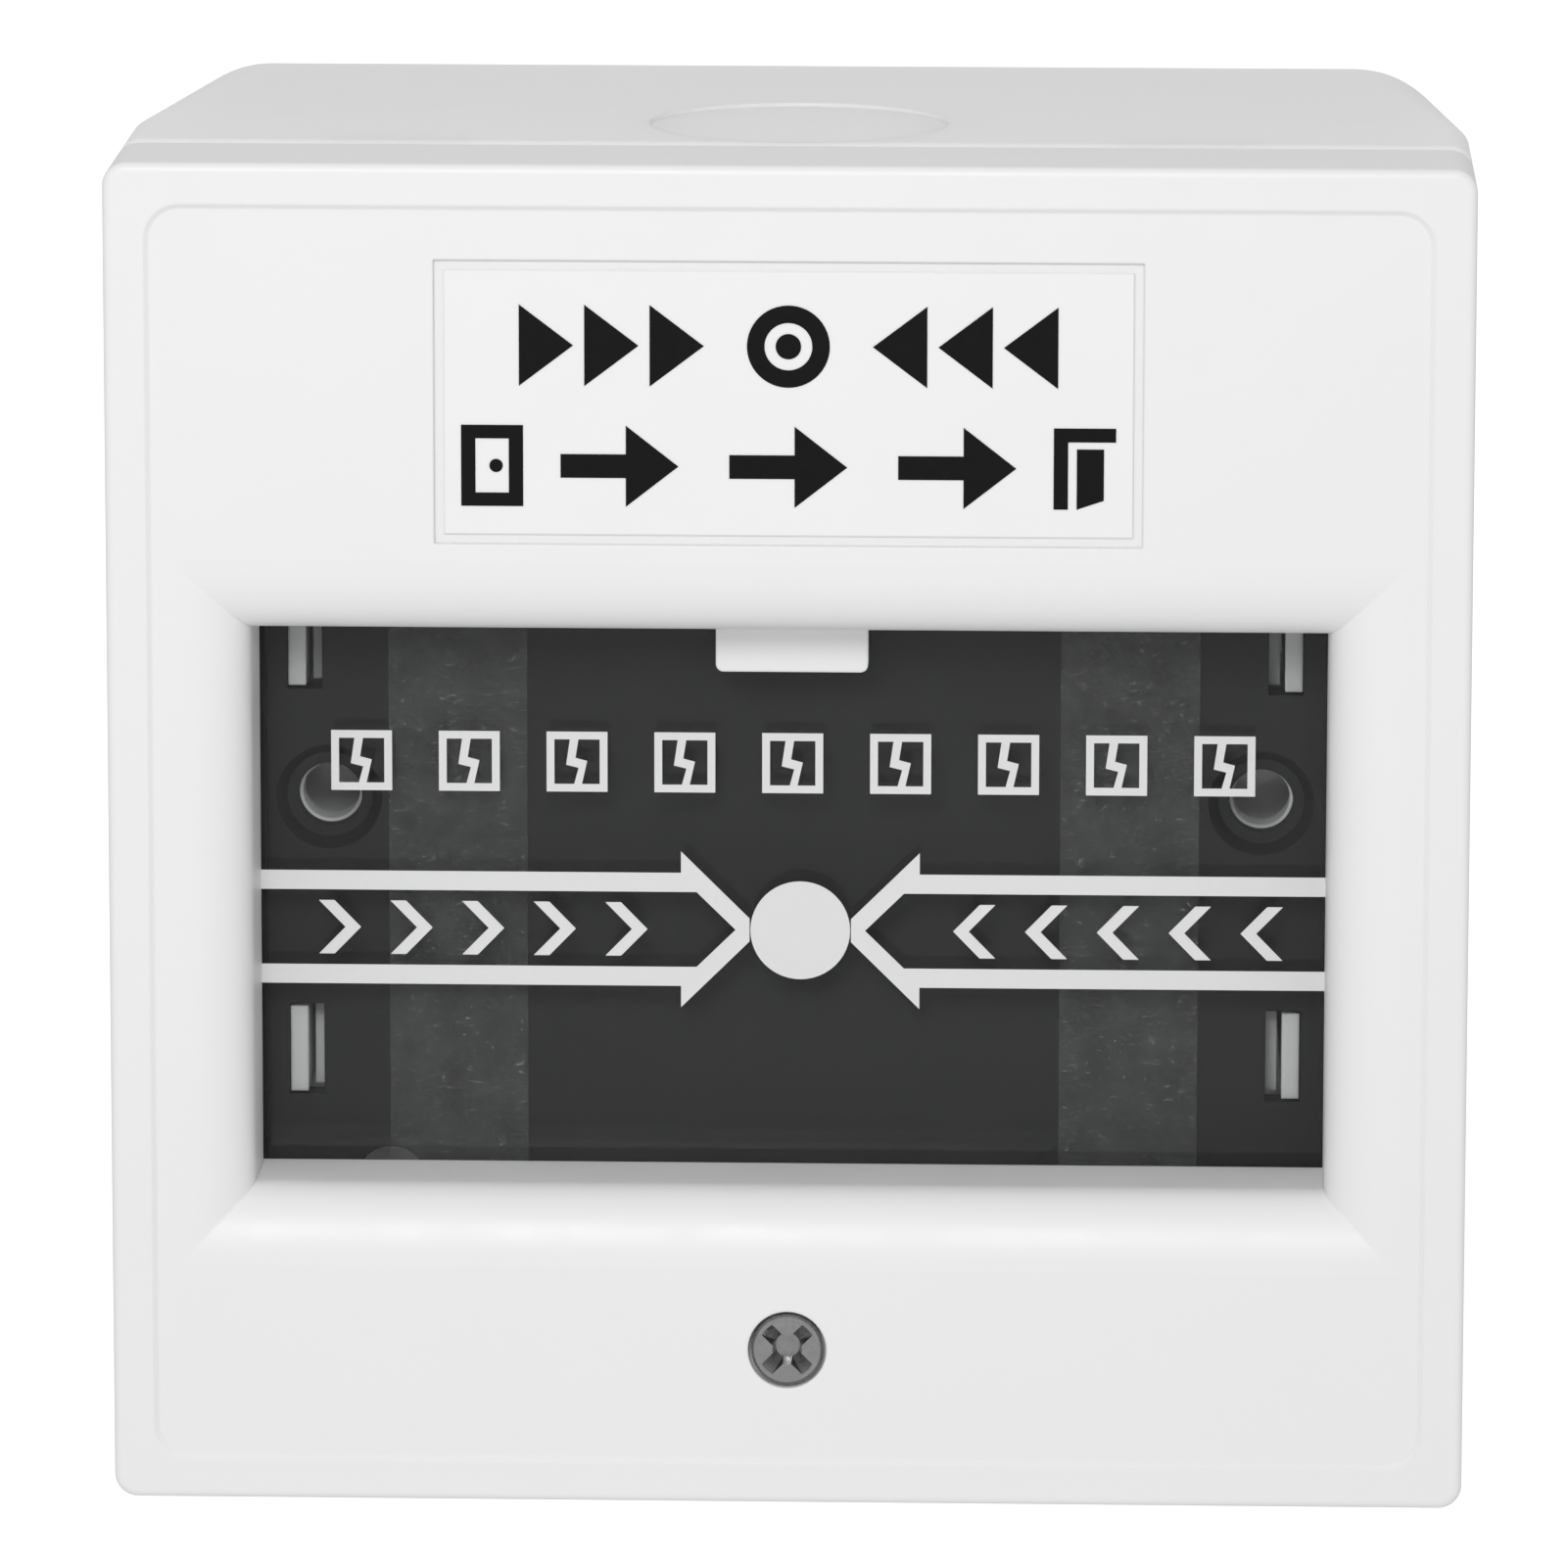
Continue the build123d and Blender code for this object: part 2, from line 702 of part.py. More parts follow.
# ---- back box ----
with BuildPart() as back_box:
    # body whose corners widen from the rim to the wall
    with BuildSketch(Plane.XZ):
        RectangleRounded(case_size, case_size, box_corner)
    with BuildSketch(Plane.XZ.offset(rim_rear)):
        RectangleRounded(case_size, case_size, case_corner)
    loft()
    fillet(back_box.faces().sort_by(Axis.Y)[-1].edges(), box_back_edge)
    with BuildSketch(Plane.XZ.offset(rim_rear)):
        RectangleRounded(case_size, case_size, case_corner)
    extrude(amount=box_front - rim_rear)
    fillet(back_box.faces().sort_by(Axis.Y)[0].edges(), rim_edge)
    with BuildSketch(Plane.XZ.offset(box_floor)):
        RectangleRounded(case_size - 2 * box_wall, case_size - 2 * box_wall, plate_corner + 0.5)
    extrude(amount=case_depth, mode=Mode.SUBTRACT)
    # shelf for the base plate
    with BuildSketch(Plane.XZ.offset(plate_rear - shelf_t)):
        RectangleRounded(shelf_outer, shelf_outer, plate_corner + 1)
        RectangleRounded(shelf_inner, shelf_inner, plate_corner - 1, mode=Mode.SUBTRACT)
    extrude(amount=shelf_t)
    # lugs behind the fixing holes, with gussets to the side walls
    for side in (-1, 1):
        with BuildSketch(Plane.XZ.offset(plate_rear - lug_t)):
            with Locations((side * lug_x, 0)):
                RectangleRounded(lug_l, lug_h, 2)
        extrude(amount=lug_t)
        with BuildSketch(Plane.XZ.offset(plate_rear - gusset_d)):
            with Locations((side * gusset_x, -gusset_z), (side * gusset_x, gusset_z)):
                Rectangle(gusset_l, gusset_t)
        extrude(amount=gusset_d)
    # tubes that lead the fixing screws from the lugs to the floor
    with BuildSketch(Plane.XZ.offset(box_floor)):
        with Locations((-fixing_x, 0), (fixing_x, 0)):
            Circle(tube_r)
            Circle(tube_bore_r, mode=Mode.SUBTRACT)
    extrude(amount=plate_rear - lug_t - box_floor)
    # snap arms for the base plate: stiff root, thin spring length, hook over the slot's ledge
    for side in (-1, 1):
        with BuildSketch(Plane.XZ.offset(box_floor)):
            with Locations((side * arm_x, slot_top_z), (side * arm_x, slot_low_z)):
                Rectangle(arm_root_t, arm_h)
        extrude(amount=arm_root_l)
        with BuildSketch(Plane.XZ.offset(box_floor)):
            with Locations((side * arm_mid_x, slot_top_z), (side * arm_mid_x, slot_low_z)):
                Rectangle(arm_t, arm_h)
        extrude(amount=plate_front - arm_play - box_floor)
        with BuildSketch(Plane.XZ.offset(plate_front - slot_sink)):
            with Locations((side * arm_hook_x, slot_top_z), (side * arm_hook_x, slot_low_z)):
                Rectangle(arm_hook_t, arm_h)
        extrude(amount=arm_hook_l)
    # stop ribs inside the snap arms
    for side in (-1, 1):
        with BuildSketch(Plane.XZ.offset(box_floor)):
            with Locations((side * stop_x, slot_top_z), (side * stop_x, slot_low_z)):
                Rectangle(stop_t, arm_h)
        extrude(amount=stop_front - box_floor)
    # wall fixing holes and the cable entry in the floor
    with BuildSketch(Plane.XZ):
        with Locations((-fixing_x, 0), (fixing_x, 0)):
            Circle(wall_screw_r)
    extrude(amount=plate_front, mode=Mode.SUBTRACT)
    with BuildSketch(Plane.XZ):
        with Locations((0, entry_z)):
            Circle(entry_r)
    extrude(amount=box_floor, mode=Mode.SUBTRACT)
    # knock-outs in the top and bottom walls, sunk outside and grooved inside
    for top in (-1, 1):
        with BuildSketch(Plane.XY.offset(top * (case_size / 2 - knockout_sink))):
            with Locations((0, -(case_depth - knockout_depth))):
                Circle(knockout_r)
        extrude(amount=top * spare, mode=Mode.SUBTRACT)
        with BuildSketch(Plane.XY.offset(top * (case_size / 2 - knockout_skin))):
            with Locations((0, -(case_depth - knockout_depth))):
                Circle(knockout_r)
                Circle(knockout_r - knockout_groove, mode=Mode.SUBTRACT)
        extrude(amount=-top * (box_wall - knockout_skin + 0.1), mode=Mode.SUBTRACT)
    # pockets for the cover tongues
    with BuildSketch(Plane.XZ.offset(pocket_rear)):
        with Locations((-tongue_x, pocket_z), (tongue_x, pocket_z)):
            Rectangle(pocket_w, pocket_t)
    extrude(amount=case_depth - pocket_rear, mode=Mode.SUBTRACT)
back_box.part.label = "back_box"
export_step(back_box.part, "parts/back_box.step")

# ---- circuit board and its screws ----
with BuildPart() as circuit_board:
    with BuildSketch(Plane.XZ.offset(pcb_rear)):
        with Locations((0, pcb_z)):
            RectangleRounded(pcb_w, pcb_h, pcb_corner)
        with Locations(*posts):
            Circle(board_screw_hole_r, mode=Mode.SUBTRACT)
        for z_pin in pin_z:
            with Locations((0, z_pin)):
                Rectangle(pin_t + 0.1, pin_w + 0.1, mode=Mode.SUBTRACT)
        for x_way in way_x:
            with Locations((x_way, bar_pin_z)):
                Rectangle(bar_w + 0.1, bar_t + 0.1, mode=Mode.SUBTRACT)
    extrude(amount=pcb_t)
circuit_board.part.label = "circuit_board"
export_step(circuit_board.part, "parts/circuit_board.step")

with BuildPart() as board_screws:
    for x_post, z_post in posts:
        with BuildSketch(Plane.XZ.offset(pcb_rear)):
            with Locations((x_post, z_post)):
                Circle(board_screw_head_r)
        extrude(amount=-board_screw_head_t, taper=8)
        with BuildSketch(Plane.XZ.offset(pcb_rear - board_screw_head_t)):
            with Locations(Location((x_post, z_post), 20), Location((x_post, z_post), 110)):
                Rectangle(board_cross_l, board_cross_w)
        extrude(amount=board_cross_d, mode=Mode.SUBTRACT)
        with BuildSketch(Plane.XZ.offset(pcb_rear)):
            with Locations((x_post, z_post)):
                Circle(board_screw_r)
        extrude(amount=board_screw_l)
board_screws.part.label = "board_screws"
export_step(board_screws.part, "parts/board_screws.step")

# ---- microswitch: case, lid, contacts, pin, plunger and lever ----
with BuildPart() as switch_case:
    with BuildSketch(Plane.XZ.offset(switch_rear)):
        with Locations((-lid_t / 2, switch_mid)):
            Rectangle(switch_w - lid_t, switch_h)
    extrude(amount=switch_d)
    with BuildSketch(Plane.XZ.offset(switch_rear + switch_wall)):
        with Locations((switch_wall - lid_t, switch_mid)):
            Rectangle(switch_w - 2 * switch_wall, switch_h - 2 * switch_wall)
    extrude(amount=switch_d - 2 * switch_wall, mode=Mode.SUBTRACT)
    # ears for the lever pin
    for x_ear in (-switch_w / 2, switch_w / 2 - lid_t - ear_t):
        with BuildSketch(Plane.YZ.offset(x_ear)):
            with Locations((lever_y, lever_z)):
                Circle(ear_r)
            with Locations((-switch_front - ear_stem, lever_z)):
                Rectangle(2 * ear_stem, 2 * ear_r)
            with Locations((lever_y, lever_z)):
                Circle(lever_pin_r, mode=Mode.SUBTRACT)
        extrude(amount=ear_t)
    # plunger hole and slots for the contacts
    with BuildSketch(Plane.XZ.offset(switch_front)):
        with Locations((0, plunger_z)):
            Circle(plunger_r + 0.05)
    extrude(amount=-switch_wall, mode=Mode.SUBTRACT)
    with BuildSketch(Plane.XZ.offset(switch_rear)):
        for z_pin in pin_z:
            with Locations((0, z_pin)):
                Rectangle(pin_t, pin_w)
    extrude(amount=switch_wall, mode=Mode.SUBTRACT)
switch_case.part.label = "switch_case"
export_step(switch_case.part, "parts/switch_case.step")

with BuildPart() as switch_lid:
    with BuildSketch(Plane.YZ.offset(switch_w / 2 - lid_t)):
        with Locations((-(switch_front + switch_rear) / 2, switch_mid)):
            Rectangle(switch_d, switch_h)
    extrude(amount=lid_t)
    with BuildSketch(Plane.YZ.offset(switch_w / 2)):
        for z_dimple in (switch_low + lid_dimple_z, switch_high - lid_dimple_z):
            with Locations((-(switch_front + switch_rear) / 2, z_dimple)):
                Circle(lid_dimple_r)
    extrude(amount=-lid_dimple_d, mode=Mode.SUBTRACT)
switch_lid.part.label = "switch_lid"
export_step(switch_lid.part, "parts/switch_lid.step")

with BuildPart() as switch_pins:
    with BuildSketch(Plane.XZ.offset(pcb_rear - pin_stub)):
        for z_pin in pin_z:
            with Locations((0, z_pin)):
                Rectangle(pin_t, pin_w)
    extrude(amount=switch_rear + contact_y - pcb_rear + pin_stub)
    # fixed contacts in the case, and the post that carries the blade
    with BuildSketch(Plane.XZ.offset(switch_rear + contact_y)):
        with Locations((0, pin_z[1] - pin_stub), (0, pin_z[2])):
            Rectangle(contact_w, contact_l)
    extrude(amount=contact_t)
    with BuildSketch(Plane.XZ.offset(switch_rear + contact_y)):
        with Locations((0, pin_z[0])):
            Rectangle(contact_w - 0.4, pin_w)
    extrude(amount=blade_y - contact_y)
switch_pins.part.label = "switch_pins"
export_step(switch_pins.part, "parts/switch_pins.step")

with BuildPart() as switch_blade:
    with BuildSketch(Plane.XZ.offset(switch_rear + blade_y)):
        with Locations((0, blade_z)):
            Rectangle(blade_w, blade_l)
    extrude(amount=blade_t)
    with BuildSketch(Plane.XZ.offset(switch_rear + blade_y)):
        with Locations((0, pin_z[2])):
            Circle(0.9)
    extrude(amount=-0.7)
switch_blade.part.label = "switch_blade"
export_step(switch_blade.part, "parts/switch_blade.step")

with BuildPart() as lever_pin:
    with BuildSketch(Plane.YZ.offset(-switch_w / 2)):
        with Locations((lever_y, lever_z)):
            Circle(lever_pin_r)
    extrude(amount=switch_w - lid_t)
lever_pin.part.label = "lever_pin"
export_step(lever_pin.part, "parts/lever_pin.step")

with BuildPart() as switch_plunger:
    with BuildSketch(Plane.XZ.offset(plunger_rear)):
        with Locations((0, plunger_z)):
            Circle(plunger_r)
    extrude(amount=plunger_l)
    fillet(switch_plunger.faces().sort_by(Axis.Y)[0].edges(), plunger_edge)
switch_plunger.part.label = "switch_plunger"
export_step(switch_plunger.part, "parts/switch_plunger.step")

with BuildPart() as switch_lever:
    with BuildSketch(Plane.YZ.offset(-lever_w / 2)):
        with Locations((lever_y, lever_z)):
            Circle(lever_eye_r)
        # bent strip from the eye down to the tip behind the glass
        Polygon(
            (-33.15, lever_z),
            (-32.85, lever_z),
            (-32.85, 17.2),
            (-37.35, 12.6),
            (-37.6, 12.85),
            (-33.15, 17.4),
            align=None,
        )
        with Locations((lever_tip_y, lever_tip_z)):
            Circle(lever_tip_r)
        with Locations((lever_y, lever_z)):
            Circle(lever_bore_r, mode=Mode.SUBTRACT)
    extrude(amount=lever_w)
switch_lever.part.label = "switch_lever"
export_step(switch_lever.part, "parts/switch_lever.step")

# ---- screw terminal block with three ways ----
with BuildPart() as terminal_block:
    with BuildSketch(Plane.XZ.offset(block_rear)):
        with Locations((0, block_z)):
            Rectangle(block_w, block_h)
    extrude(amount=block_d)
    chamfer(terminal_block.faces().sort_by(Axis.Y)[-1].edges().filter_by(Axis.X), block_chamfer)
    for x_way in way_x:
        # cage pocket, open towards the bottom
        with BuildSketch(Plane.XZ.offset(cage_room_rear)):
            with Locations((x_way, block_low + cage_room_z)):
                Rectangle(cage_room_w, cage_room_h)
        extrude(amount=cage_room_l, mode=Mode.SUBTRACT)
        # screwdriver hole
        with BuildSketch(Plane.XZ.offset(block_rear)):
            with Locations((x_way, cage_z)):
                Circle(driver_r)
        extrude(amount=driver_d, mode=Mode.SUBTRACT)
        # slot of the contact bar and its pin
        with BuildSketch(Plane.XZ.offset(bar_y)):
            with Locations((x_way, bar_slot_z)):
                Rectangle(bar_w, bar_slot_h)
        extrude(amount=bar_t, mode=Mode.SUBTRACT)
        with BuildSketch(Plane.XZ.offset(bar_y)):
            with Locations((x_way, bar_pin_z)):
                Rectangle(bar_w, bar_t)
        extrude(amount=bar_slot_l, mode=Mode.SUBTRACT)
terminal_block.part.label = "terminal_block"
export_step(terminal_block.part, "parts/terminal_block.step")

with BuildPart() as terminal_bars:
    for x_way in way_x:
        with BuildSketch(Plane.XZ.offset(bar_y)):
            with Locations((x_way, bar_z)):
                Rectangle(bar_w, bar_l)
        extrude(amount=bar_t)
        with BuildSketch(Plane.XZ.offset(bar_y)):
            with Locations((x_way, bar_pin_z)):
                Rectangle(bar_w, bar_t)
        extrude(amount=bar_pin_l)
terminal_bars.part.label = "terminal_bars"
export_step(terminal_bars.part, "parts/terminal_bars.step")

way_names = ("left", "middle", "right")
clamp_turns = (30, 5, -20)
for way in range(3):
    with BuildPart() as cage:
        with BuildSketch(Plane.XZ.offset(cage_rear)):
            with Locations((way_x[way], cage_z)):
                Rectangle(cage_w, cage_h)
        extrude(amount=cage_l)
        with BuildSketch(Plane.XZ.offset(cage_rear + cage_floor)):
            with Locations((way_x[way], cage_z)):
                Rectangle(cage_w - 2 * cage_wall, cage_h + 1)
        extrude(amount=cage_l - cage_floor - cage_roof, mode=Mode.SUBTRACT)
        with BuildSketch(Plane.XZ.offset(cage_rear)):
            with Locations((way_x[way], cage_z)):
                Circle(cage_bore_r)
        extrude(amount=cage_floor, mode=Mode.SUBTRACT)
    cage.part.label = "cage_" + way_names[way]
    export_step(cage.part, "parts/cage_" + way_names[way] + ".step")

    with BuildPart() as clamp:
        with BuildSketch(Plane.XZ.offset(clamp_rear)):
            with Locations((way_x[way], cage_z)):
                Circle(clamp_head_r)
        extrude(amount=clamp_head_t)
        with BuildSketch(Plane.XZ.offset(clamp_rear + clamp_head_t)):
            with Locations((way_x[way], cage_z)):
                Circle(clamp_r)
        extrude(amount=clamp_l)
        with BuildSketch(Plane.XZ.offset(clamp_rear)):
            with Locations(Location((way_x[way], cage_z), clamp_turns[way])):
                Rectangle(cage_w, clamp_slot_w)
        extrude(amount=clamp_slot_d, mode=Mode.SUBTRACT)
    clamp.part.label = "clamp_" + way_names[way]
    export_step(clamp.part, "parts/clamp_" + way_names[way] + ".step")
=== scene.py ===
import bpy
import math
from mathutils import Matrix, Vector

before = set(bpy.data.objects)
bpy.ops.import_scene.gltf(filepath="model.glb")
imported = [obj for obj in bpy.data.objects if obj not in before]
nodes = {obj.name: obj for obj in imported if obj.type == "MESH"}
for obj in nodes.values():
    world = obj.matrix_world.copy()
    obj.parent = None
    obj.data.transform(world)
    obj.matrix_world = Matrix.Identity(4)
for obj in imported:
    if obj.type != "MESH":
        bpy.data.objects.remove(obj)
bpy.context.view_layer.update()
MM = 0.001


# refractive index of the glass and the film
SHEET_INDEX = 1.52


# ---------------------------------------------------------------- material helpers
def empty_material(name):
    """A node material that holds only its output."""
    material = bpy.data.materials.new(name)
    material.use_nodes = True
    tree = material.node_tree
    tree.nodes.clear()
    out = tree.nodes.new("ShaderNodeOutputMaterial")
    return material, tree, out


def new_material(name):
    """A node material with a Principled shader wired to its output."""
    material, tree, out = empty_material(name)
    shader = tree.nodes.new("ShaderNodeBsdfPrincipled")
    tree.links.new(shader.outputs[0], out.inputs["Surface"])
    return material, tree, shader


def grey(value):
    """A neutral colour."""
    return (value, value, value)


def node(tree, kind, values=None, **settings):
    """Adds a node with its settings and its input values."""
    made = tree.nodes.new(kind)
    for key, value in settings.items():
        setattr(made, key, value)
    for key, value in (values or {}).items():
        made.inputs[key].default_value = value
    return made


def position(tree, scale=(1, 1, 1), turn=(0, 0, 0)):
    """The point on the object in metres, stretched and turned."""
    where = node(tree, "ShaderNodeTexCoord")
    mapping = node(tree, "ShaderNodeMapping", {"Scale": scale, "Rotation": turn})
    tree.links.new(where.outputs["Object"], mapping.inputs["Vector"])
    return mapping.outputs["Vector"]


def noise(tree, size, detail=4.0, rough=0.55, where=None):
    """Cloudy noise whose features are about size metres wide."""
    values = {"Scale": 1.0 / size, "Detail": detail, "Roughness": rough}
    made = node(tree, "ShaderNodeTexNoise", values)
    tree.links.new(where or position(tree), made.inputs["Vector"])
    return made.outputs["Fac"]


def remap(tree, value, low, high, start=0.0, end=1.0):
    """value from start to end becomes low to high."""
    values = {"From Min": start, "From Max": end, "To Min": low, "To Max": high}
    made = node(tree, "ShaderNodeMapRange", values)
    tree.links.new(value, made.inputs["Value"])
    return made.outputs["Result"]


def shade(tree, fac, dark, light):
    """A colour between dark and light. Sockets 6 and 7, and output 2, are the Mix node's colours."""
    made = node(tree, "ShaderNodeMix", data_type="RGBA")
    made.inputs[6].default_value = (*dark, 1.0)
    made.inputs[7].default_value = (*light, 1.0)
    tree.links.new(fac, made.inputs[0])
    return made.outputs[2]


def bump(tree, height, distance, strength, below=None):
    """A normal bumped by height, over distance in metres, on top of the normal below."""
    made = node(tree, "ShaderNodeBump", {"Strength": strength, "Distance": distance})
    tree.links.new(height, made.inputs["Height"])
    if below is not None:
        tree.links.new(below, made.inputs["Normal"])
    return made.outputs["Normal"]


def scratches(tree, size, turn, amount):
    """Sparse fine scratches that run one way, 1 in a scratch and 0 elsewhere."""
    drawn_out = position(tree, (1.0, 0.02, 1.0), (0.3, 0.2, turn))
    lines = noise(tree, size, detail=2.0, rough=0.5, where=drawn_out)
    patches = noise(tree, size * 30, detail=1.0)
    cut = remap(tree, lines, 0.0, 1.0, 0.70, 0.74)
    keep = remap(tree, patches, 0.0, amount, 0.5, 0.7)
    both = node(tree, "ShaderNodeMath", operation="MULTIPLY")
    tree.links.new(cut, both.inputs[0])
    tree.links.new(keep, both.inputs[1])
    return both.outputs[0]


# ---------------------------------------------------------------- materials
def moulded(name, dark, light, rough, grain=0.35 * MM, height=0.004 * MM, edge=0.0,
            specular=0.5, glow=0.0):
    """Injection moulded plastic: spark-eroded grain, faint flow clouds and handling marks.

    edge is the radius of the softened edges, and glow is the share of light let through."""
    material, tree, shader = new_material(name)
    clouds = noise(tree, 14 * MM, detail=5.0)
    tree.links.new(shade(tree, clouds, dark, light), shader.inputs["Base Color"])
    marks = scratches(tree, 0.25 * MM, 0.9, 0.6)
    smear = noise(tree, 5 * MM, detail=3.0)
    base = remap(tree, smear, rough - 0.05, rough + 0.06, 0.3, 0.7)
    worn = node(tree, "ShaderNodeMath", operation="MULTIPLY_ADD")
    worn.inputs[1].default_value = -0.08
    tree.links.new(marks, worn.inputs[0])
    tree.links.new(base, worn.inputs[2])
    tree.links.new(worn.outputs[0], shader.inputs["Roughness"])
    below = None
    if edge:
        soft = node(tree, "ShaderNodeBevel", {"Radius": edge}, samples=6)
        below = soft.outputs["Normal"]
    fine = bump(tree, noise(tree, grain, detail=3.0), height, 0.6, below)
    wavy = bump(tree, noise(tree, 22 * MM, detail=1.0), 0.03 * MM, 0.25, fine)
    tree.links.new(wavy, shader.inputs["Normal"])
    shader.inputs["Specular IOR Level"].default_value = specular
    if glow:
        # white plastic lets some light through its walls
        shader.inputs["Subsurface Weight"].default_value = glow
        shader.inputs["Subsurface Radius"].default_value = (1.0, 1.0, 1.0)
        shader.inputs["Subsurface Scale"].default_value = 3.0 * MM
    return material


def ink(name, dark, light, rough, specular=0.4):
    """Screen-printed ink: slightly uneven cover and a fine orange-peel skin."""
    material, tree, shader = new_material(name)
    cover = noise(tree, 0.8 * MM, detail=6.0, rough=0.7)
    tree.links.new(shade(tree, cover, dark, light), shader.inputs["Base Color"])
    tree.links.new(remap(tree, cover, rough - 0.05, rough + 0.08), shader.inputs["Roughness"])
    tree.links.new(bump(tree, noise(tree, 0.2 * MM), 0.003 * MM, 0.5), shader.inputs["Normal"])
    shader.inputs["Specular IOR Level"].default_value = specular
    return material


def metal(name, dark, light, rough, stretch=(1, 1, 1)):
    """Plated or rolled metal with fine working marks and dull spots."""
    material, tree, shader = new_material(name)
    grain = noise(tree, 0.25 * MM, detail=5.0, where=position(tree, stretch))
    spots = noise(tree, 1.6 * MM, detail=4.0, rough=0.6)
    tree.links.new(shade(tree, spots, dark, light), shader.inputs["Base Color"])
    tree.links.new(remap(tree, grain, rough - 0.1, rough + 0.14, 0.3, 0.7), shader.inputs["Roughness"])
    tree.links.new(bump(tree, grain, 0.006 * MM, 0.5), shader.inputs["Normal"])
    shader.inputs["Metallic"].default_value = 1.0
    return material


def clear_sheet(name, tint, share, rough, specks=0.0, haze=0.0):
    """A thin clear sheet: what is behind shows through, with a mirror coat by angle.

    share scales that coat, and specks and haze add small bubbles and a faint veil."""
    material, tree, out = empty_material(name)
    clear = node(tree, "ShaderNodeBsdfTransparent", {"Color": (*tint, 1.0)})
    gloss = node(tree, "ShaderNodeBsdfGlossy", {"Color": (1, 1, 1, 1)})
    smear = noise(tree, 9 * MM, detail=5.0, rough=0.65)
    tree.links.new(remap(tree, smear, rough * 0.4, rough * 1.8, 0.3, 0.7), gloss.inputs["Roughness"])
    ripple = bump(tree, noise(tree, 30 * MM, detail=1.0), 0.02 * MM, 0.3)
    tree.links.new(ripple, gloss.inputs["Normal"])
    # the same reflection from both faces of the sheet
    side = node(tree, "ShaderNodeNewGeometry")
    index = remap(tree, side.outputs["Backfacing"], SHEET_INDEX, 1 / SHEET_INDEX)
    fresnel = node(tree, "ShaderNodeFresnel")
    tree.links.new(index, fresnel.inputs["IOR"])
    weight = node(tree, "ShaderNodeMath", operation="MULTIPLY")
    weight.inputs[1].default_value = share
    tree.links.new(fresnel.outputs[0], weight.inputs[0])
    body = clear.outputs[0]
    if specks or haze:
        grains = noise(tree, 0.28 * MM, detail=2.0, where=position(tree, (0.6, 1.0, 1.4)))
        dots = remap(tree, grains, 0.0, specks, 0.64, 0.76)
        mist = noise(tree, 2.5 * MM, detail=6.0, rough=0.7)
        veil = remap(tree, mist, haze * 0.5, haze * 1.5, 0.3, 0.7)
        total = node(tree, "ShaderNodeMath", operation="ADD")
        tree.links.new(dots, total.inputs[0])
        tree.links.new(veil, total.inputs[1])
        milk = node(tree, "ShaderNodeBsdfDiffuse", {"Color": (0.85, 0.86, 0.86, 1)})
        hazy = node(tree, "ShaderNodeMixShader")
        tree.links.new(total.outputs[0], hazy.inputs[0])
        tree.links.new(clear.outputs[0], hazy.inputs[1])
        tree.links.new(milk.outputs[0], hazy.inputs[2])
        body = hazy.outputs[0]
    mixed = node(tree, "ShaderNodeMixShader")
    tree.links.new(weight.outputs[0], mixed.inputs[0])
    tree.links.new(body, mixed.inputs[1])
    tree.links.new(gloss.outputs[0], mixed.inputs[2])
    tree.links.new(mixed.outputs[0], out.inputs["Surface"])
    return material


def board(name):
    """Green solder mask with faint tracks under it."""
    material, tree, shader = new_material(name)
    weave = noise(tree, 0.6 * MM, detail=2.0, where=position(tree, (1, 1, 0.2)))
    layout = {"Scale": 260.0, "Mortar Size": 0.06, "Brick Width": 0.9, "Row Height": 0.5}
    tracks = node(tree, "ShaderNodeTexBrick", layout)
    tracks.inputs["Color1"].default_value = (0.012, 0.12, 0.05, 1)
    tracks.inputs["Color2"].default_value = (0.014, 0.14, 0.06, 1)
    tracks.inputs["Mortar"].default_value = (0.03, 0.2, 0.09, 1)
    tree.links.new(position(tree, (1, 1, 1), (math.pi / 2, 0, 0)), tracks.inputs["Vector"])
    tree.links.new(tracks.outputs["Color"], shader.inputs["Base Color"])
    tree.links.new(remap(tree, weave, 0.25, 0.42), shader.inputs["Roughness"])
    tree.links.new(bump(tree, tracks.outputs["Fac"], 0.02 * MM, 0.4), shader.inputs["Normal"])
    return material


white_cover = moulded("white_cover", grey(0.815), grey(0.83), 0.42, edge=0.25 * MM)
white_box = moulded("white_box", grey(0.86), grey(0.88), 0.46, edge=0.25 * MM, glow=0.5)
label_white = moulded("label_white", grey(0.83), grey(0.845), 0.36, grain=0.15 * MM,
                      height=0.002 * MM)
black_plate = moulded("black_plate", grey(0.019), grey(0.024), 0.55, height=0.003 * MM,
                      edge=0.15 * MM, specular=0.25)
switch_black = moulded("switch_black", (0.02, 0.02, 0.022), (0.035, 0.035, 0.038), 0.5, height=0.008 * MM)
switch_lid = moulded("switch_lid", (0.035, 0.035, 0.04), (0.05, 0.05, 0.055), 0.55, height=0.008 * MM)
block_green = moulded("block_green", (0.03, 0.22, 0.10), (0.05, 0.28, 0.14), 0.4)
plunger_red = moulded("plunger_red", (0.42, 0.03, 0.025), (0.52, 0.05, 0.04), 0.4)
nylon = moulded("nylon", (0.72, 0.71, 0.66), (0.8, 0.79, 0.75), 0.5)
black_ink = ink("black_ink", grey(0.003), grey(0.008), 0.55, 0.1)
white_ink = ink("white_ink", grey(0.71), grey(0.75), 0.45)
screw_steel = metal("screw_steel", grey(0.25), grey(0.385), 0.3)
steel = metal("steel", grey(0.5), (0.62, 0.62, 0.61), 0.28, (0.05, 1, 1))
lever_steel = metal("lever_steel", (0.5, 0.5, 0.49), (0.66, 0.66, 0.64), 0.26, (1, 1, 0.04))
clamp_steel = metal("clamp_steel", (0.45, 0.45, 0.43), (0.6, 0.6, 0.57), 0.36)
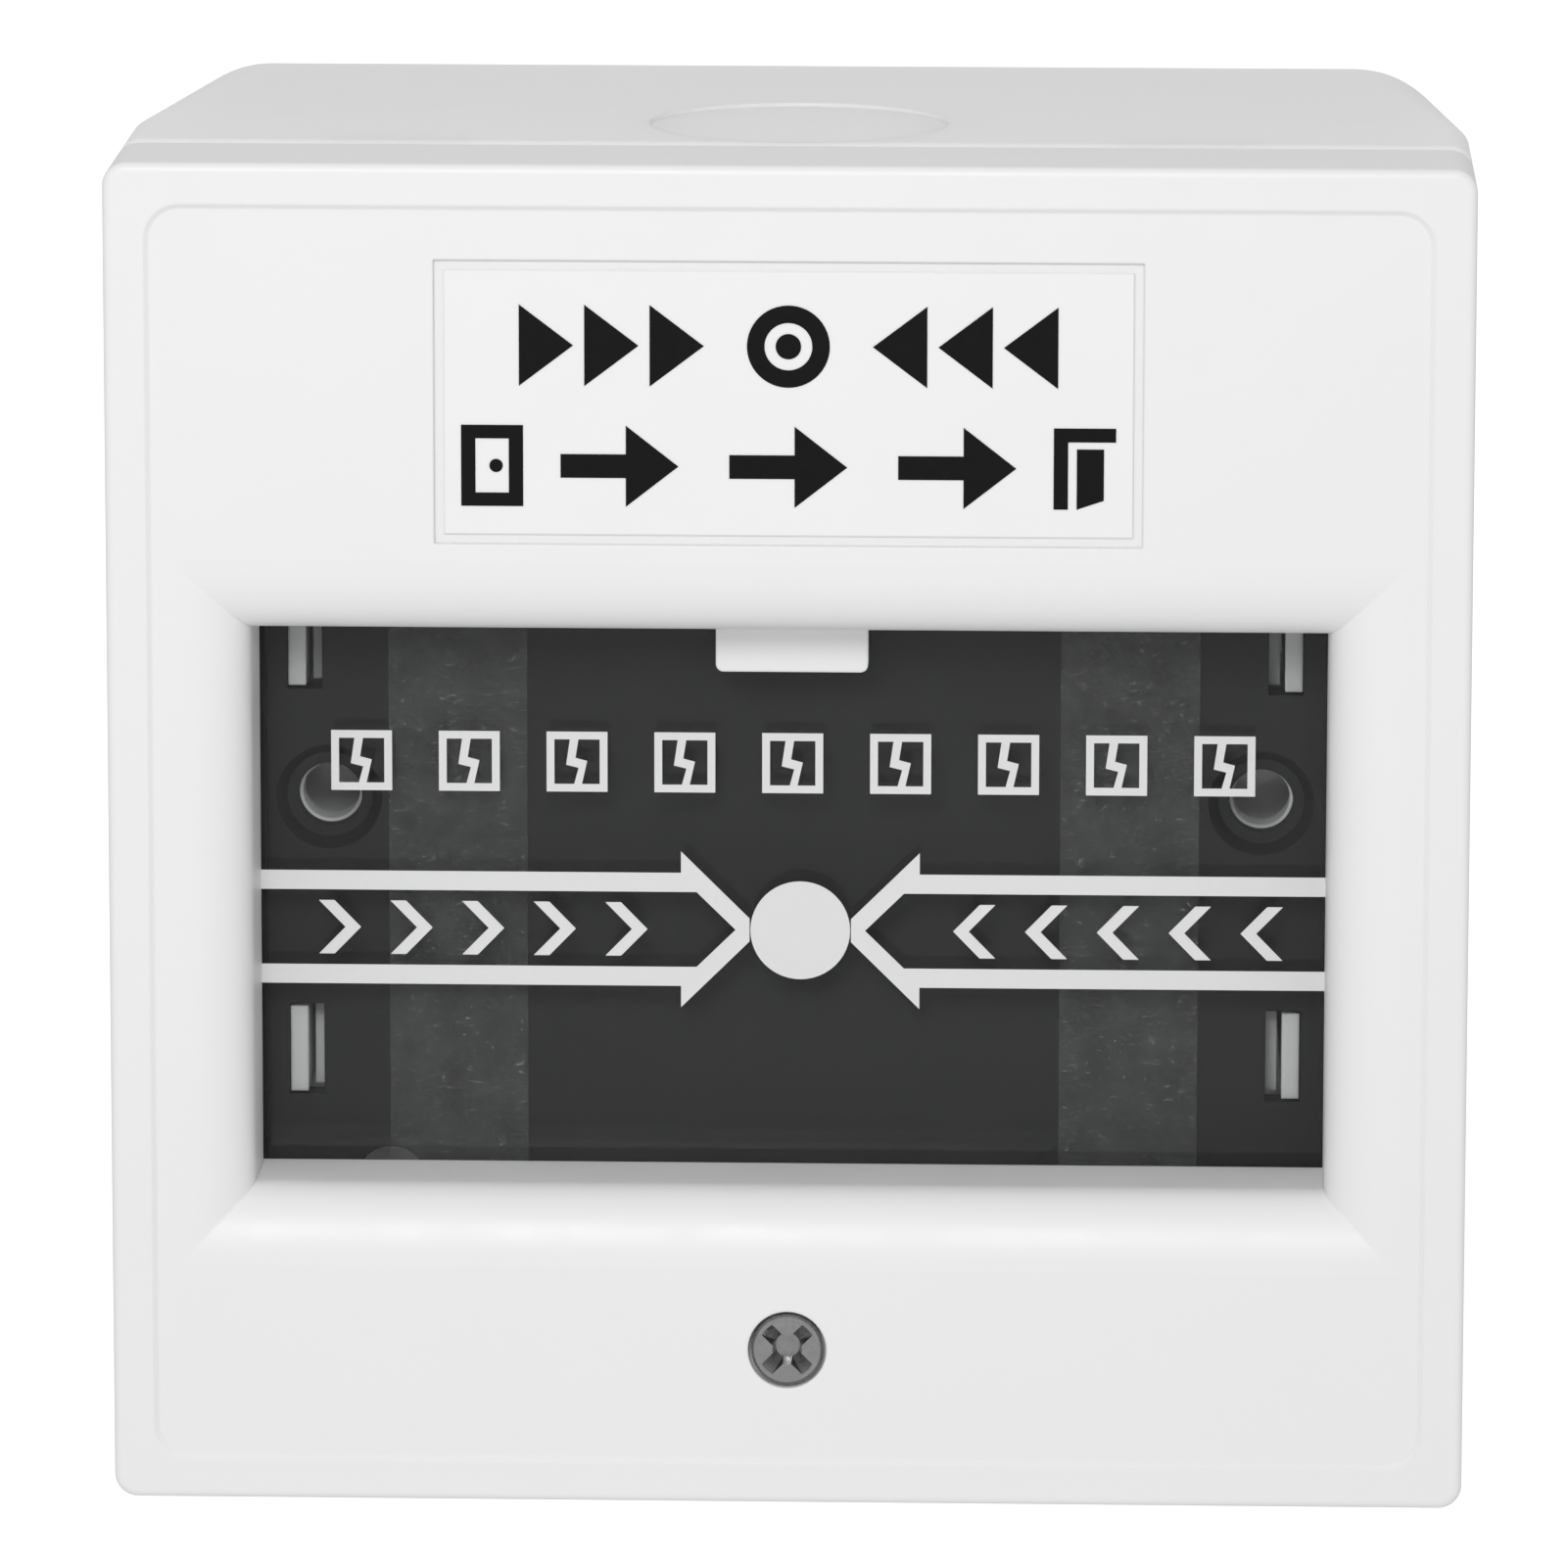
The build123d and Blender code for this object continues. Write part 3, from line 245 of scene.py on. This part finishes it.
nickel = metal("nickel", (0.5, 0.48, 0.44), (0.64, 0.62, 0.58), 0.3)
tinned = metal("tinned", (0.55, 0.55, 0.53), (0.7, 0.7, 0.68), 0.38)
spring_bronze = metal("spring_bronze", (0.5, 0.3, 0.14), (0.66, 0.42, 0.22), 0.3, (1, 1, 0.05))
brass = metal("brass", (0.56, 0.38, 0.14), (0.74, 0.54, 0.24), 0.28, (1, 0.1, 1))
board_green = board("board_green")
clear_glass = clear_sheet("clear_glass", (0.95, 0.955, 0.953), 0.32, 0.03)
safety_film = clear_sheet("safety_film", grey(0.96), 0.12, 0.12, specks=0.16, haze=0.022)

FINISHES = {
    "front_cover": white_cover,
    "back_box": white_box,
    "label_plate": label_white,
    "label_print": black_ink,
    "glass_pane": clear_glass,
    "pane_print": white_ink,
    "film_strips": safety_film,
    "cover_screw": screw_steel,
    "board_screws": screw_steel,
    "screw_washer": nylon,
    "base_plate": black_plate,
    "cover_insert": brass,
    "circuit_board": board_green,
    "switch_case": switch_black,
    "switch_lid": switch_lid,
    "switch_pins": tinned,
    "switch_blade": spring_bronze,
    "lever_pin": steel,
    "switch_plunger": plunger_red,
    "switch_lever": lever_steel,
    "terminal_block": block_green,
    "terminal_bars": tinned,
}
for way in ("left", "middle", "right"):
    FINISHES["cage_" + way] = nickel
    FINISHES["clamp_" + way] = clamp_steel
for name, material in FINISHES.items():
    mesh = nodes[name].data
    mesh.materials.clear()
    mesh.materials.append(material)


# ---------------------------------------------------------------- floor, light and camera
FLOOR_DROP = 0.12
FLOOR_GLOW = 0.5
LAMP_PLACE = (-0.03, -0.36, 0.15)
LAMP_TARGET = (0, -0.03, 0)
LAMP_DIAMETER = 0.1
LAMP_WATTS = 0.44
WORLD_STRENGTH = 0.67


def flat_sheet(name, z, size, material):
    """A square sheet at height z."""
    mesh = bpy.data.meshes.new(name)
    corners = [(-size, -size, z), (size, -size, z), (size, size, z), (-size, size, z)]
    mesh.from_pydata(corners, [], [(0, 1, 2, 3)])
    mesh.materials.append(material)
    sheet = bpy.data.objects.new(name, mesh)
    bpy.context.scene.collection.objects.link(sheet)
    return sheet


def floor_finish():
    """Matt white for the sheet below the part."""
    material, tree, shader = new_material("floor")
    cloud = noise(tree, 0.4, detail=2.0)
    tree.links.new(shade(tree, cloud, grey(0.88), grey(0.9)), shader.inputs["Base Color"])
    # the sheet looks white all over, and adds no light of its own to the object
    rays = node(tree, "ShaderNodeLightPath")
    glow = remap(tree, rays.outputs["Is Camera Ray"], 0.0, FLOOR_GLOW)
    tree.links.new(glow, shader.inputs["Emission Strength"])
    shader.inputs["Roughness"].default_value = 0.9
    shader.inputs["Specular IOR Level"].default_value = 0.1
    shader.inputs["Emission Color"].default_value = (1, 1, 1, 1)
    return material


flat_sheet("floor", -FLOOR_DROP, 6.0, floor_finish())


def aim(obj, place, target, roll=0.0):
    """Puts obj at place, looking at target, turned by roll about its own axis."""
    ahead = (Vector(target) - Vector(place)).normalized()
    right = ahead.cross(Vector((0, 0, 1))).normalized()
    up = right.cross(ahead)
    across = math.cos(roll) * right + math.sin(roll) * up
    above = math.cos(roll) * up - math.sin(roll) * right
    turn = Matrix((across, above, -ahead)).transposed().to_4x4()
    obj.matrix_world = Matrix.Translation(Vector(place)) @ turn


def soft_light(name, place, target, diameter, watts):
    """A round area light."""
    light = bpy.data.lights.new(name, "AREA")
    light.shape = "DISK"
    light.size = diameter
    light.energy = watts
    lamp = bpy.data.objects.new(name, light)
    bpy.context.scene.collection.objects.link(lamp)
    aim(lamp, place, target)


soft_light("key", LAMP_PLACE, LAMP_TARGET, LAMP_DIAMETER, LAMP_WATTS)

world = bpy.data.worlds.new("studio")
world.use_nodes = True
background = world.node_tree.nodes["Background"]
background.inputs["Color"].default_value = (1, 1, 1, 1)
background.inputs["Strength"].default_value = WORLD_STRENGTH
scene = bpy.context.scene
scene.world = world
scene.view_settings.view_transform = "Standard"

CASE_FRONT = -0.050
AZIMUTH = math.radians(1.86)
ELEVATION = math.radians(10.92)
ROLL = math.radians(0.0735)
DISTANCE = 0.714
LENS_MM = 260.0
LOOK_AT = Vector((-0.00023, CASE_FRONT, 0.00377))
# how much of the view direction is level
level = math.cos(ELEVATION)
toward = Vector((math.sin(AZIMUTH) * level, -math.cos(AZIMUTH) * level, math.sin(ELEVATION)))
camera_data = bpy.data.cameras.new("camera")
camera_data.lens = LENS_MM
camera_data.sensor_width = 36.0
camera_data.clip_start = 0.01
camera = bpy.data.objects.new("camera", camera_data)
scene.collection.objects.link(camera)
aim(camera, LOOK_AT + DISTANCE * toward, LOOK_AT, ROLL)
scene.camera = camera
